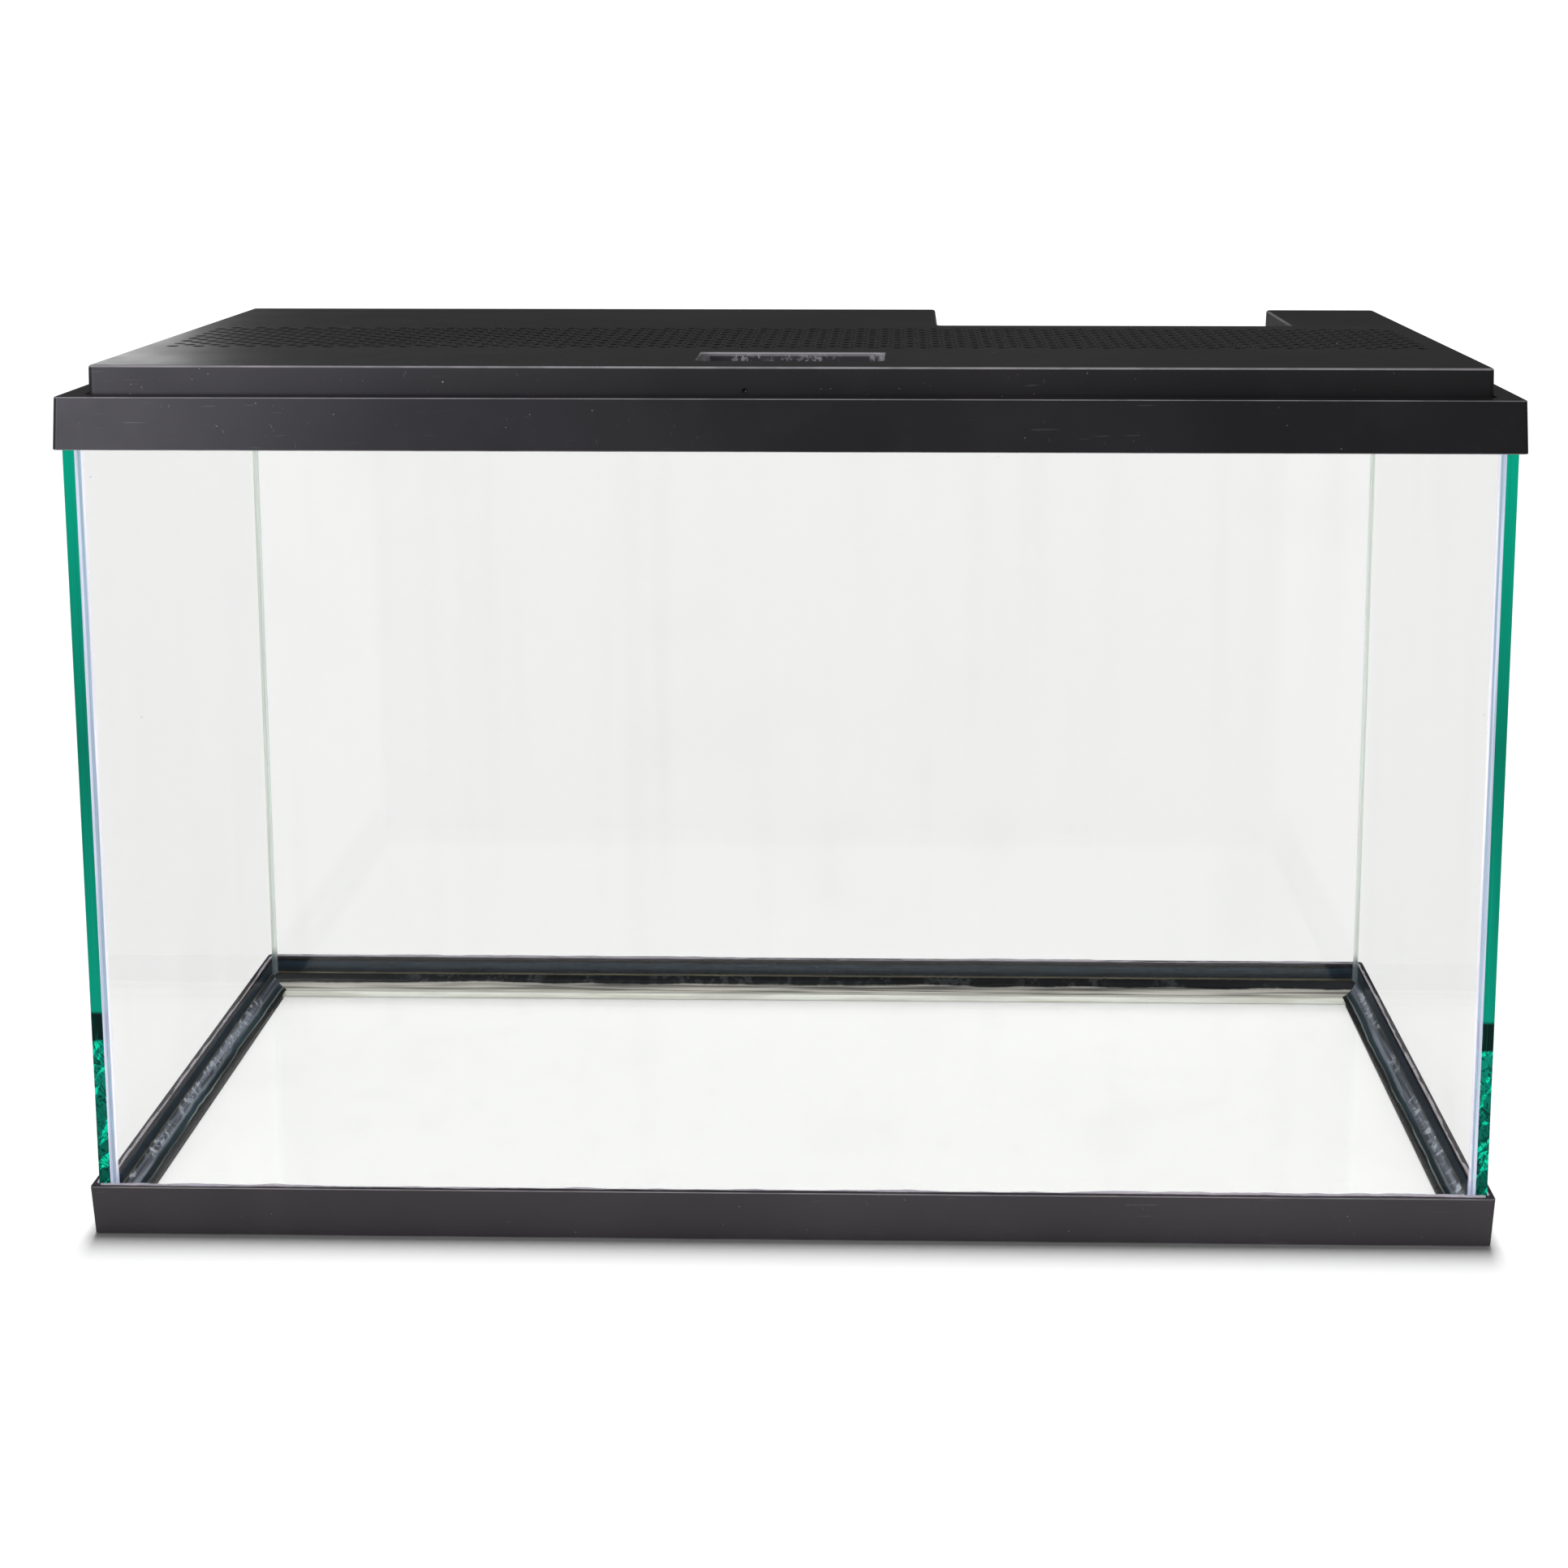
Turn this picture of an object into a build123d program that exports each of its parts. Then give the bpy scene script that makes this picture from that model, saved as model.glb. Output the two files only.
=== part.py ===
from build123d import *
import os

# Glass aquarium tank: five panes bonded with clear silicone, a base frame and a top frame of black
# plastic, and a lift-off hood. Millimetres. X runs along the length, +Y to the back, +Z up. The origin
# is the middle of the footprint, on the surface that the tank stands on.

# Driving dimensions: the glass box
GLASS_LENGTH = 600.0
GLASS_DEPTH = 300.0
GLASS_TOP = 363.0
PANE = 5.0
UPRIGHT_BOND = 1.2
FLOOR_BOND = 0.8
CORNER_FILLET = 2.5
FLOOR_FILLET_OUT = 9.0
FLOOR_FILLET_UP = 6.0
FILLET_HOLLOW = 0.36
SEAM = 0.4

# Driving dimensions: the two plastic frames
FRAME_HEIGHT = 22.0
FRAME_OVERHANG = 3.2
FRAME_DRAFT = 1.1
FRAME_CORNER_RADIUS = 2.0
FRAME_EDGE = 0.5
BED_GAP = 0.7
BED_STEP = 1.5
BASE_LEDGE_THICK = 3.0
BASE_LEDGE_WIDTH = 12.5
RIM_TOP = 366.0
RIM_WEB = 2.4
LIP_THICK = 2.3
LIP_HEIGHT = 16.0
SEAT_DEPTH = 6.0
SEAT_THICK = 2.0
SEAT_WIDTH = 8.0

# Driving dimensions: the hood
LID_PLAY = 0.75
LID_RISE = 12.0
LID_WALL = 2.4
LID_TAPER = 1.6
LID_EDGE_RADIUS = 1.2
LID_CORNER_RADIUS = 3.0
NOTCH_LEFT = 65.0
NOTCH_RIGHT = 235.0
NOTCH_FRONT = 50.0
VENT_RADIUS = 2.75
VENT_PITCH = 11.56
VENT_ROW_STEP = 5.93
VENT_ROWS = 16
VENT_COLUMNS = 49
VENT_MIDDLE_Y = -15.5
POCKET_WIDTH = 79.0
POCKET_DEPTH = 35.0
POCKET_MIDDLE_Y = -100.5
POCKET_SUNK = 11.0
POCKET_RADIUS = 4.0
POCKET_WALL = 2.0
POCKET_FLOOR_RADIUS = 2.0
POCKET_RIM_RADIUS = 0.8
GATE_MARK_X = -17.6
GATE_MARK_Z = 368.0
GATE_MARK_DEPTH = 0.5
GATE_MARK_RADIUS = 1.7

# Worked out from the driving dimensions
FLOOR_BOTTOM = BASE_LEDGE_THICK
FLOOR_TOP = FLOOR_BOTTOM + PANE
WALL_BOTTOM = FLOOR_TOP + FLOOR_BOND
HALF_LENGTH = GLASS_LENGTH / 2
HALF_DEPTH = GLASS_DEPTH / 2
INNER_X = HALF_LENGTH - PANE
INNER_Y = HALF_DEPTH - PANE
RIM_BOTTOM = RIM_TOP - FRAME_HEIGHT
SEAT_TOP = RIM_TOP - SEAT_DEPTH
LIP_BOTTOM = RIM_TOP - LIP_HEIGHT
CHANNEL_TOP = RIM_TOP - RIM_WEB
LIP_INSET = PANE + BED_GAP + LIP_THICK
WELL_LENGTH = GLASS_LENGTH - 2 * LIP_INSET
WELL_DEPTH = GLASS_DEPTH - 2 * LIP_INSET
LID_LENGTH = WELL_LENGTH - 2 * LID_PLAY
LID_DEPTH = WELL_DEPTH - 2 * LID_PLAY
LID_TOP = RIM_TOP + LID_RISE
LID_HEIGHT = LID_TOP - SEAT_TOP


def block(x, y, z):
    """A box from three (low, high) pairs."""
    size = [high - low for low, high in (x, y, z)]
    middle = [(low + high) / 2 for low, high in (x, y, z)]
    return Pos(*middle) * Box(*size)


def centred(length, depth, z):
    """A box of the given plan, centred on the tank, from a (low, high) pair of heights."""
    return block((-length / 2, length / 2), (-depth / 2, depth / 2), z)


def span(near, far, side):
    """The (low, high) pair of a stretch that is mirrored to the side +1 or -1."""
    return tuple(sorted((side * near, side * far)))


def drafted_block(wide_z, narrow_z):
    """The outside of a frame: full size at wide_z and smaller by the draft at narrow_z, edges rounded."""
    plans = []
    for z, draft in ((wide_z, 0.0), (narrow_z, FRAME_DRAFT)):
        grow = 2 * (FRAME_OVERHANG - draft)
        plan = RectangleRounded(GLASS_LENGTH + grow, GLASS_DEPTH + grow, FRAME_CORNER_RADIUS)
        plans.append(Pos(0, 0, z) * plan)
    solid = loft(plans)
    levels = solid.edges().group_by(Axis.Z)
    return fillet(levels[0] + levels[-1], FRAME_EDGE)


def wall_pane(x, y):
    """A wall pane standing on its floor bond, with its upright edges ground to a small seam."""
    pane = block(x, y, (WALL_BOTTOM, GLASS_TOP))
    return chamfer(pane.edges().filter_by(Axis.Z), SEAM)


def make_panes():
    """The five panes: the walls stand on the floor pane, and the side walls run the full depth."""
    end = INNER_X - UPRIGHT_BOND
    panes = {"floor_pane": centred(GLASS_LENGTH, GLASS_DEPTH, (FLOOR_BOTTOM, FLOOR_TOP))}
    for name, side in (("front", -1), ("back", 1)):
        panes[name + "_pane"] = wall_pane((-end, end), span(INNER_Y, HALF_DEPTH, side))
    for name, side in (("left", -1), ("right", 1)):
        panes[name + "_pane"] = wall_pane(span(INNER_X, HALF_LENGTH, side), (-HALF_DEPTH, HALF_DEPTH))
    return panes


def floor_seal(half_run, reach, film_half):
    """Silicone along the +Y floor edge: a film under the wall, and inside it a hollow, mitred fillet."""
    film = block((-film_half, film_half), (reach, reach + PANE), (FLOOR_TOP, WALL_BOTTOM))
    toe = (reach - FLOOR_FILLET_OUT, FLOOR_TOP)
    top = (reach, FLOOR_TOP + FLOOR_FILLET_UP)
    belly = (reach - FLOOR_FILLET_OUT * FILLET_HOLLOW, FLOOR_TOP + FLOOR_FILLET_UP * FILLET_HOLLOW)
    outline = Line((reach, FLOOR_TOP), toe) + ThreePointArc(toe, belly, top) + Line(top, (reach, FLOOR_TOP))
    section = Pos(-half_run, 0, 0) * (Plane.YZ * make_face(outline))
    bead = extrude(section, 2 * half_run, dir=(1, 0, 0))
    inner = half_run - FLOOR_FILLET_OUT
    plan = Polyline((-half_run, reach), (half_run, reach), (inner, toe[0]), (-inner, toe[0]), close=True)
    mitre = extrude(Pos(0, 0, FLOOR_TOP) * make_face(plan), FLOOR_FILLET_UP)
    return film + (bead & mitre)


def make_floor_seals():
    """The four floor seals. The side panes cover the ends of the front and back ones."""
    long_run = floor_seal(INNER_X, INNER_Y, INNER_X)
    short_run = floor_seal(INNER_Y, INNER_X, HALF_DEPTH)
    return {
        "floor_seal_back": long_run,
        "floor_seal_front": Rot(0, 0, 180) * long_run,
        "floor_seal_right": Rot(0, 0, -90) * short_run,
        "floor_seal_left": Rot(0, 0, 90) * short_run,
    }


def corner_seal(side_x, side_y, floor_seals):
    """The bond between a side pane and the end of the front or back pane, with a hollow fillet inside."""
    bond_x = span(INNER_X - UPRIGHT_BOND, INNER_X, side_x)
    bond = block(bond_x, span(INNER_Y, HALF_DEPTH - SEAM, side_y), (WALL_BOTTOM, GLASS_TOP))
    middle_x = side_x * (INNER_X - CORNER_FILLET)
    middle_y = side_y * (INNER_Y - CORNER_FILLET)
    fillet_x = span(INNER_X - CORNER_FILLET, INNER_X, side_x)
    fillet_y = span(INNER_Y - CORNER_FILLET, INNER_Y, side_y)
    bead = block(fillet_x, fillet_y, (WALL_BOTTOM, LIP_BOTTOM - BED_GAP))
    bead -= Pos(middle_x, middle_y, GLASS_TOP / 2) * Cylinder(CORNER_FILLET, GLASS_TOP)
    return bond + bead - floor_seals


def make_corner_seals(floor_seals):
    """The four upright corner seals, each ending on the floor seals below it."""
    seals = {}
    for name_y, side_y in (("front", -1), ("back", 1)):
        for name_x, side_x in (("left", -1), ("right", 1)):
            below = [floor_seals["floor_seal_" + name_x], floor_seals["floor_seal_" + name_y]]
            seals[f"corner_seal_{name_y}_{name_x}"] = corner_seal(side_x, side_y, below)
    return seals


def make_base_beds():
    """Silicone between the base frame's wall and the glass, as four straight runs."""
    height = (FLOOR_BOTTOM, FRAME_HEIGHT - BED_STEP)
    full = HALF_LENGTH + BED_GAP
    beds = {}
    for name, side in (("front", -1), ("back", 1)):
        beds["base_bed_" + name] = block((-full, full), span(HALF_DEPTH, HALF_DEPTH + BED_GAP, side), height)
    for name, side in (("left", -1), ("right", 1)):
        x = span(HALF_LENGTH, full, side)
        beds["base_bed_" + name] = block(x, (-HALF_DEPTH, HALF_DEPTH), height)
    return beds


def make_top_beds():
    """Silicone between the top frame and the glass rim: down the outside and over the edge of each pane."""
    height = (RIM_BOTTOM + BED_STEP, CHANNEL_TOP)
    cap = (GLASS_TOP, CHANNEL_TOP)
    full = HALF_LENGTH + BED_GAP
    beds = {}
    for name, side in (("front", -1), ("back", 1)):
        skirt = block((-full, full), span(HALF_DEPTH, HALF_DEPTH + BED_GAP, side), height)
        edge = block((-HALF_LENGTH, HALF_LENGTH), span(INNER_Y, HALF_DEPTH, side), cap)
        beds["top_bed_" + name] = skirt + edge
    for name, side in (("left", -1), ("right", 1)):
        skirt = block(span(HALF_LENGTH, full, side), (-HALF_DEPTH, HALF_DEPTH), height)
        edge = block(span(INNER_X, HALF_LENGTH, side), (-INNER_Y, INNER_Y), cap)
        beds["top_bed_" + name] = skirt + edge
    return beds


def make_base_frame():
    """A drafted rim, widest at its open top, with a ledge at its foot that carries the floor pane."""
    frame = drafted_block(FRAME_HEIGHT, 0.0)
    socket_length = GLASS_LENGTH + 2 * BED_GAP
    socket_depth = GLASS_DEPTH + 2 * BED_GAP
    frame -= centred(socket_length, socket_depth, (BASE_LEDGE_THICK, FRAME_HEIGHT))
    window_length = GLASS_LENGTH - 2 * BASE_LEDGE_WIDTH
    window_depth = GLASS_DEPTH - 2 * BASE_LEDGE_WIDTH
    frame -= centred(window_length, window_depth, (0.0, BASE_LEDGE_THICK))
    return frame


def make_top_frame():
    """A drafted rim with a channel over the glass, and a sunk seat inside for the hood."""
    frame = drafted_block(RIM_BOTTOM, RIM_TOP)
    channel_length = GLASS_LENGTH + 2 * BED_GAP
    channel_depth = GLASS_DEPTH + 2 * BED_GAP
    lip_length = 2 * (INNER_X - BED_GAP)
    lip_depth = 2 * (INNER_Y - BED_GAP)
    channel = centred(channel_length, channel_depth, (RIM_BOTTOM, CHANNEL_TOP))
    channel -= centred(lip_length, lip_depth, (LIP_BOTTOM, CHANNEL_TOP))
    frame -= channel
    frame -= centred(WELL_LENGTH, WELL_DEPTH, (SEAT_TOP, RIM_TOP))
    frame -= centred(WELL_LENGTH, WELL_DEPTH, (LIP_BOTTOM, SEAT_TOP - SEAT_THICK))
    mouth_length = WELL_LENGTH - 2 * SEAT_WIDTH
    mouth_depth = WELL_DEPTH - 2 * SEAT_WIDTH
    frame -= centred(mouth_length, mouth_depth, (SEAT_TOP - SEAT_THICK, SEAT_TOP))
    return frame


def lid_outline():
    """The hood's plan: a rounded rectangle with the cut-out in its back edge."""
    notch_width = NOTCH_RIGHT - NOTCH_LEFT
    notch_depth = LID_DEPTH / 2 - NOTCH_FRONT
    middle = Pos((NOTCH_LEFT + NOTCH_RIGHT) / 2, NOTCH_FRONT + notch_depth / 2)
    plan = Rectangle(LID_LENGTH, LID_DEPTH) - middle * Rectangle(notch_width, notch_depth)
    return fillet(plan.vertices(), LID_CORNER_RADIUS)


def vent_positions():
    """The vents in staggered rows: each second row has one vent fewer and sits half a pitch over."""
    places = []
    for row in range(VENT_ROWS):
        columns = VENT_COLUMNS - row % 2
        y = VENT_MIDDLE_Y + (row - (VENT_ROWS - 1) / 2) * VENT_ROW_STEP
        for column in range(columns):
            places.append(((column - (columns - 1) / 2) * VENT_PITCH, y))
    return places


def make_lid():
    """The hood: a thin drafted shell with vents, a cut-out, a sunk finger pocket and a gate mark."""
    outline = Pos(0, 0, SEAT_TOP) * lid_outline()
    lid = extrude(outline, LID_HEIGHT, taper=LID_TAPER)
    lid = fillet(lid.edges().group_by(Axis.Z)[-1], LID_EDGE_RADIUS)
    lid -= extrude(offset(outline, -LID_WALL), LID_HEIGHT - LID_WALL)

    pocket_middle = Pos(0, POCKET_MIDDLE_Y, LID_TOP - POCKET_SUNK)
    cup_plan = RectangleRounded(
        POCKET_WIDTH + 2 * POCKET_WALL, POCKET_DEPTH + 2 * POCKET_WALL, POCKET_RADIUS + POCKET_WALL
    )
    lid += Pos(0, 0, -POCKET_WALL) * pocket_middle * extrude(cup_plan, POCKET_SUNK)
    hollow = extrude(RectangleRounded(POCKET_WIDTH, POCKET_DEPTH, POCKET_RADIUS), POCKET_SUNK)
    lid -= pocket_middle * fillet(hollow.edges().group_by(Axis.Z)[0], POCKET_FLOOR_RADIUS)
    top_edges = lid.edges().group_by(Axis.Z)[-1]
    rim_reach = POCKET_DEPTH / 2 + POCKET_WALL
    rim = top_edges.filter_by(lambda edge: abs(edge.center().Y - POCKET_MIDDLE_Y) < rim_reach)
    rim = rim.filter_by(lambda edge: abs(edge.center().X) < POCKET_WIDTH)
    lid = fillet(rim, POCKET_RIM_RADIUS)

    gate_out = LID_DEPTH / 2 + GATE_MARK_RADIUS - GATE_MARK_DEPTH
    lid -= Pos(GATE_MARK_X, -gate_out, GATE_MARK_Z) * Sphere(GATE_MARK_RADIUS)

    vent = Cylinder(VENT_RADIUS, 2 * LID_WALL)
    return lid - [Pos(x, y, LID_TOP - LID_WALL) * vent for x, y in vent_positions()]


def make_parts():
    """Every sub-part of the tank by its name."""
    floor_seals = make_floor_seals()
    return {
        "base_frame": make_base_frame(),
        "top_frame": make_top_frame(),
        "lid": make_lid(),
        **make_panes(),
        **floor_seals,
        **make_corner_seals(floor_seals),
        **make_base_beds(),
        **make_top_beds(),
    }


os.makedirs("parts", exist_ok=True)
for part_name, part in make_parts().items():
    export_step(part, f"parts/{part_name}.step")
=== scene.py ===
import math
import random

import bmesh
import bpy
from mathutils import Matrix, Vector


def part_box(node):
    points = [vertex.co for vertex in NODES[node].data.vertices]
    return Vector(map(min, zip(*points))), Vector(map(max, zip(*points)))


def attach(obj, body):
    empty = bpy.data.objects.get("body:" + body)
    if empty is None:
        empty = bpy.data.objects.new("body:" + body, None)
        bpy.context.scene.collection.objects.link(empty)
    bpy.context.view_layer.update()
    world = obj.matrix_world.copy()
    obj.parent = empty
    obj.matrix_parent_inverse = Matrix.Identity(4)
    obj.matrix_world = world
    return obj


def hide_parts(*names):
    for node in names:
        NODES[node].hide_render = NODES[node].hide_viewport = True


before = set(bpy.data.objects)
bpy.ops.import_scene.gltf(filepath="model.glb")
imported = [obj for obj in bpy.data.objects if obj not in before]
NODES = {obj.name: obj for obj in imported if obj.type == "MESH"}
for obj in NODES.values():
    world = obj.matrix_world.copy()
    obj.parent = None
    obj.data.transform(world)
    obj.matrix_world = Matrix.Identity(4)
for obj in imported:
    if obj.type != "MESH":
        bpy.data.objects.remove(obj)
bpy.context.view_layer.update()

# A glass aquarium tank on a pale studio floor. The two plastic frames, the hood and the silicone keep
# their CAD meshes and get their finishes here. The five panes are built here, so that their faces and
# their ground edges can be different glass, and so is the sealant on the base frame's lip. Places come
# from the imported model, and the few that its boxes don't give are in metres below.

MM = 0.001
WALLS = ("front", "back", "left", "right")

# The inner faces of the side and back panes, the ends of the front and back panes, the top of the base
# frame's lip, and the top of its ledge, which the floor pane stands on
SIDE_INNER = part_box("right_pane")[0].x
BACK_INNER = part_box("back_pane")[0].y
WALL_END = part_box("back_pane")[1].x
LIP_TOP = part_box("base_frame")[1].z
LEDGE_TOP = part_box("floor_pane")[0].z

# Camera: metres, degrees below level, degrees to the left, millimetres, and shares of the frame
CAMERA_PLACE = (0.0475, -1.2056, 0.4917)
CAMERA_PITCH = 9.59
CAMERA_YAW = 1.23
CAMERA_LENS = 59.53
CAMERA_SENSOR = 36.0
CAMERA_SHIFT = (-0.04, -0.165)

# Studio: metres, paint from 0 to 1, watts, degrees, and strengths of the white room
FLOOR_SIZE = 14.0
FLOOR_WHITE = 0.82
FLOOR_MIRRORED = 0.14
SKY_POWER = 156000.0
SKY_DISTANCE = 100.0
SKY_HEIGHT = 60.0
SKY_HALF_ANGLES = (10.0, 26.5)
ROOM_SEEN = 1.18
ROOM_DIFFUSE = 0.20
ROOM_GLOSSY_LOW = 0.08
ROOM_GLOSSY_HIGH = 0.20

# Glass
PANE_GAP = 0.05 * MM
SEAM = 0.4 * MM
SEAM_SEGMENTS = 2
WALL_TINT = (0.949, 0.951, 0.948)
FLOOR_TINT = (0.945, 0.947, 0.944)
FRONT_MIRROR = 0.16
BACK_MIRROR = 0.08
SIDE_MIRROR = 0.12
FLOOR_MIRROR = 0.12
MIRROR_SHARE = 0.45
GLASS_INDEX = 1.5
EDGE_INNER_TINT = (0.88, 0.945, 0.93)

# The foot and top of the near-black block on the side panes' edges
BLOCK_FOOT = 0.087
BLOCK_TOP = 0.100

# Plastic
SCRATCH_GREY = (0.30, 0.29, 0.31)
# The lighter grey of the painted highlight along rounded edges
EDGE_HIGHLIGHT_GREY = (0.32, 0.305, 0.32)
DUST_GREY = (0.52, 0.50, 0.49)

# The hood's finger pocket: its middle, its half length and half depth, and its brim; then the grey of
# the painted light on its walls, the grey of its scuffs, and its painted highlight
POCKET_MIDDLE_Y = -0.1005
POCKET_HALF = (0.0405, 0.0185)
POCKET_TOP = 0.3776
POCKET_PAINTED_LIGHT_GREY = (0.075, 0.070, 0.078)
POCKET_SCUFF = (0.42, 0.41, 0.43)
POCKET_HIGHLIGHT = (0.46, 0.45, 0.48)

# The round mark on the hood's front skirt: its X and Z, and its radius
GATE_MARK = (-0.0176, 0.368)
GATE_MARK_RADIUS = 1.35 * MM
GATE_MARK_BLACK = (0.002, 0.002, 0.002)

# Where the painted light on the base frame's back ledge begins, and how far out it goes
LEDGE_LIGHT_FRONT = 0.13375
LEDGE_LIGHT_END = 0.288

# The floor beads' reach from the panes
BEAD_REACH = 9.0 * MM

# Sealant squeezed out over the base frame's lip
SQUEEZE_STEPS = 240
SQUEEZE_SIDES = 8
SQUEEZE_LOW = 0.5 * MM
SQUEEZE_SPREAD = 1.1 * MM


# --------------------------------------------------------------------------------------- shader helpers


class Tree:
    """The nodes of a material or of the world. add gives back its node, and the rest give an output."""

    def __init__(self, material):
        self.nodes = material.node_tree.nodes
        self.links = material.node_tree.links
        self.nodes.clear()

    def add(self, kind, inputs=None, **settings):
        node = self.nodes.new("ShaderNode" + kind)
        for name, value in settings.items():
            setattr(node, name, value)
        for key, value in (inputs or {}).items():
            if isinstance(value, bpy.types.NodeSocket):
                self.links.new(value, node.inputs[key])
            else:
                node.inputs[key].default_value = value
        return node

    def math(self, operation, *values, clamp=False):
        node = self.add("Math", dict(enumerate(values)), operation=operation, use_clamp=clamp)
        return node.outputs[0]

    def object_place(self):
        return self.add("TexCoord").outputs["Object"]

    def axes(self):
        """The object-space X, Y and Z, in metres."""
        return self.add("SeparateXYZ", {0: self.object_place()}).outputs

    def stretched(self, scale, turn=(0.0, 0.0, 0.0)):
        """Object coordinates, turned and then multiplied by scale, as a texture's vector."""
        place = self.add("Mapping", {"Vector": self.object_place(), "Rotation": turn})
        return self.add("VectorMath", {0: place.outputs[0], 1: scale}, operation="MULTIPLY").outputs[0]

    def noise(self, scale, detail=3.0, roughness=0.55, vector=None, distortion=0.0):
        settings = {
            "Vector": vector or self.object_place(),
            "Scale": scale,
            "Detail": detail,
            "Roughness": roughness,
            "Distortion": distortion,
        }
        return self.add("TexNoise", settings).outputs["Fac"]

    def step(self, value, low, high, to_low=0.0, to_high=1.0):
        """A smooth step of value from low to high."""
        settings = {0: value, 1: low, 2: high, 3: to_low, 4: to_high}
        return self.add("MapRange", settings, interpolation_type="SMOOTHSTEP").outputs[0]

    def specks(self, scale, size, share, seed=(0.0, 0.0, 0.0)):
        """1 on small round specks and 0 elsewhere. Only a share of the cells has one."""
        shifted = self.add("VectorMath", {0: self.object_place(), 1: seed}, operation="ADD").outputs[0]
        cells = self.add("TexVoronoi", {"Vector": shifted, "Scale": scale})
        dot = self.step(cells.outputs["Distance"], size, size * 0.4)
        tone = self.add("SeparateColor", {0: cells.outputs["Color"]}).outputs[0]
        return self.math("MULTIPLY", dot, self.math("LESS_THAN", tone, share))

    def mix(self, factor, first, second, blend="MIX"):
        node = self.add("Mix", data_type="RGBA", blend_type=blend)
        for index, value in ((0, factor), (6, first), (7, second)):
            if isinstance(value, bpy.types.NodeSocket):
                self.links.new(value, node.inputs[index])
            elif index == 0:
                node.inputs[index].default_value = value
            else:
                node.inputs[index].default_value = (*value[:3], 1.0)
        return node.outputs[2]

    def ramp(self, value, stops):
        """A colour ramp from (place, colour) pairs."""
        node = self.add("ValToRGB", {0: value})
        elements = node.color_ramp.elements
        while len(elements) < len(stops):
            elements.new(0.5)
        for element, (place, colour) in zip(elements, stops):
            element.position = place
            element.color = (*colour, 1.0)
        return node.outputs[0]

    def bump(self, height, strength, distance):
        inputs = {"Height": height, "Strength": strength, "Distance": distance}
        return self.add("Bump", inputs).outputs[0]

    def finish(self, surface):
        output = self.add("OutputMaterial")
        self.links.new(surface, output.inputs["Surface"])


def new_material(name):
    """A material and its empty tree. Its glow isn't sampled as a lamp, which keeps renders quick."""
    material = bpy.data.materials.new(name)
    material.use_nodes = True
    material.cycles.emission_sampling = "NONE"
    return material, Tree(material)


def screen(red, green, blue):
    """A colour given as 0 to 255 screen values, as linear light."""
    return tuple((value / 255.0) ** 2.2 for value in (red, green, blue))


# --------------------------------------------------------------------------------------------- plastic


def gate_mark(tree, tone):
    """Blackens the round mark on the hood's front skirt."""
    x, y, z = tree.axes()[:3]
    aside = tree.math("POWER", tree.math("SUBTRACT", x, GATE_MARK[0]), 2.0)
    above = tree.math("POWER", tree.math("SUBTRACT", z, GATE_MARK[1]), 2.0)
    away = tree.math("SQRT", tree.math("ADD", aside, above))
    disc = tree.step(away, GATE_MARK_RADIUS + 0.15 * MM, GATE_MARK_RADIUS - 0.15 * MM)
    mark = tree.math("MULTIPLY", disc, tree.math("LESS_THAN", y, POCKET_MIDDLE_Y))
    return tree.mix(mark, tone, GATE_MARK_BLACK)


def pocket_light_and_scuffs(tree, tone):
    """Paints the walls of the hood's finger pocket a lighter grey as painted light, scuffs them, and
    paints highlights on its back brim and ends.
    """
    x, y, z = tree.axes()[:3]
    across = tree.step(tree.math("ABSOLUTE", x), POCKET_HALF[0], POCKET_HALF[0] - 0.5 * MM)
    off = tree.math("ABSOLUTE", tree.math("SUBTRACT", y, POCKET_MIDDLE_Y))
    deep = tree.step(off, POCKET_HALF[1], POCKET_HALF[1] - 0.5 * MM)
    below = tree.step(z, POCKET_TOP, POCKET_TOP - 0.6 * MM)
    inside = tree.math("MULTIPLY", tree.math("MULTIPLY", across, deep), below)
    # Painted light: the pocket's walls are painted lighter than the rest of the hood.
    tone = tree.mix(tree.math("MULTIPLY", inside, 0.8), tone, POCKET_PAINTED_LIGHT_GREY)
    clumps = tree.noise(420.0, detail=3.0, roughness=0.7)
    spread = tree.noise(1.0, detail=1.0, vector=tree.stretched((70.0, 20.0, 20.0)))
    scuff = tree.math("MULTIPLY", tree.step(clumps, 0.48, 0.60), tree.step(spread, 0.46, 0.58))
    tone = tree.mix(tree.math("MULTIPLY", scuff, inside), tone, POCKET_SCUFF)
    # Painted highlights on the pocket's back brim and on its rounded ends.
    brim_highlight = tree.math("MULTIPLY", across, tree.step(z, POCKET_TOP - 1.4 * MM, POCKET_TOP - 0.9 * MM))
    near = tree.step(off, POCKET_HALF[1] + 0.8 * MM, POCKET_HALF[1] + 0.4 * MM)
    brim_highlight = tree.math("MULTIPLY", brim_highlight, near)
    brim_highlight = tree.math("MULTIPLY", brim_highlight, tree.step(y, POCKET_MIDDLE_Y, POCKET_MIDDLE_Y + 16.0 * MM))
    end_highlights = tree.step(tree.math("ABSOLUTE", x), POCKET_HALF[0] - 4.0 * MM, POCKET_HALF[0] - 2.0 * MM)
    highlight_mask = tree.math("MAXIMUM", tree.math("MULTIPLY", brim_highlight, 0.8), tree.math("MULTIPLY", end_highlights, inside))
    return tree.mix(tree.math("MULTIPLY", highlight_mask, 0.7), tone, POCKET_HIGHLIGHT)


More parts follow.
